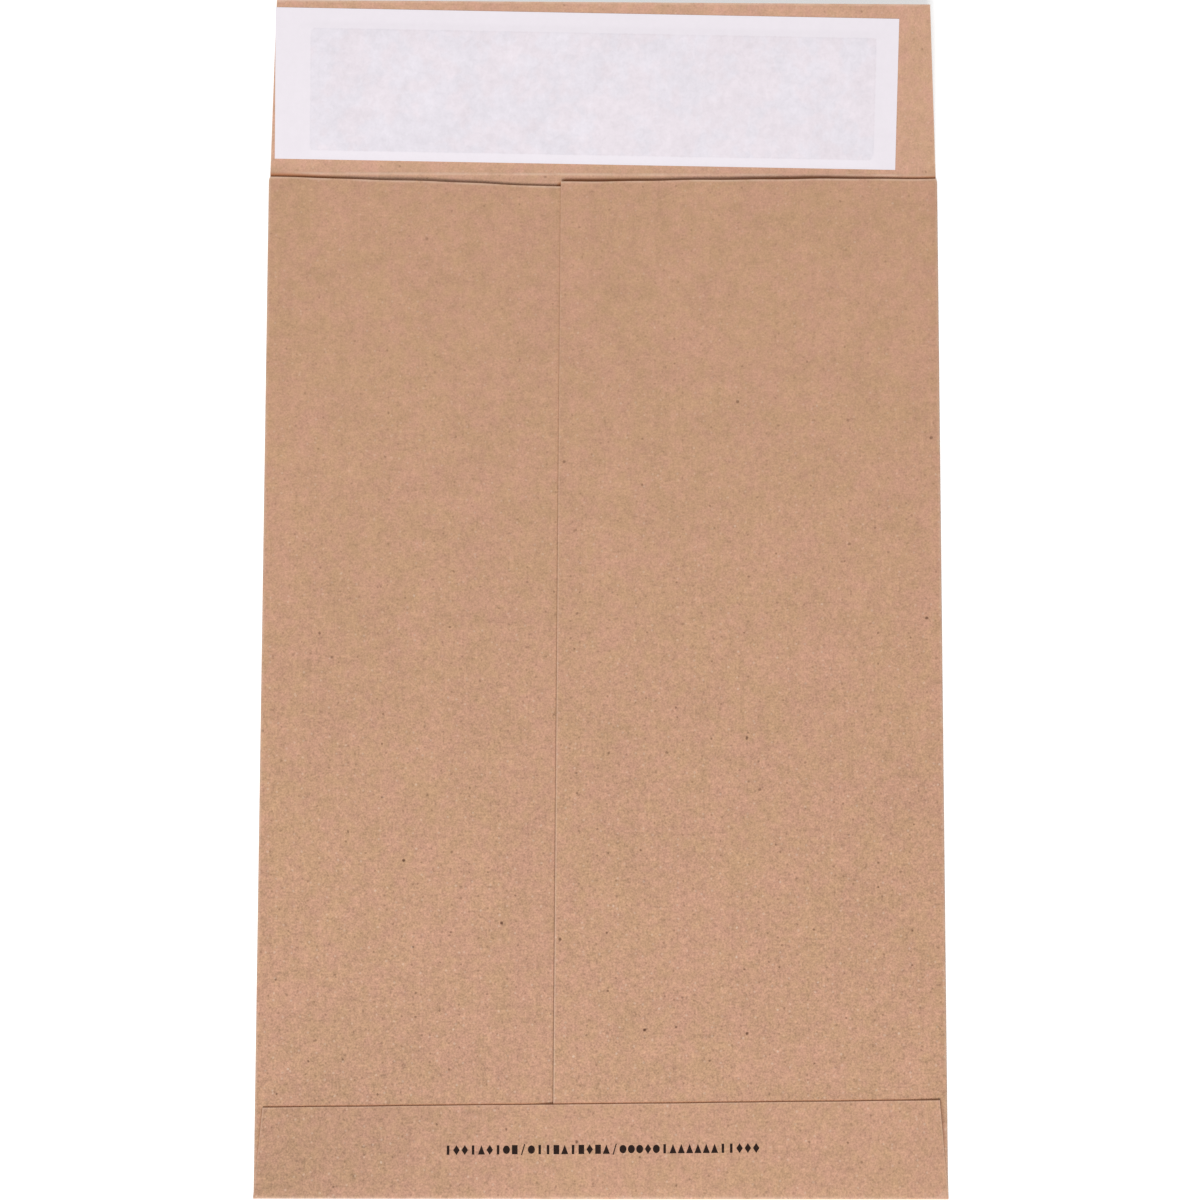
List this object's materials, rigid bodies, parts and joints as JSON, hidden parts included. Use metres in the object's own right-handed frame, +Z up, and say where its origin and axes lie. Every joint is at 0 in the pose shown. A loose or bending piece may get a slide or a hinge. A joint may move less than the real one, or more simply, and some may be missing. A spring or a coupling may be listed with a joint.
{
  "type": "flat paper mailer",
  "caption": "Flat kraft paper mailer with a lapped back seam, a glued bottom flap and an open closing flap whose adhesive strip is covered by a release liner.",
  "frame": {"origin": "middle of the underside of the whole mailer, with the closing flap open", "axes": "+Y from the bottom fold towards the closing flap, +Z up out of the back panels, +X to the right seen from above"},
  "size_m": [0.1524, 0.2676, 0.0058],
  "materials": {
    "kraft_paper": "matt recycled kraft",
    "paper_glue": "dried glue film",
    "adhesive": "tacky pressure-sensitive film",
    "coated_liner": "smooth silicone-coated white paper"
  },
  "bodies": {
    "root": {"mailer_sheet": "kraft_paper", "seam_glue": "paper_glue", "bottom_flap_glue": "paper_glue", "adhesive_strip": "adhesive", "release_liner": "coated_liner"}
  },
  "joints": []
}
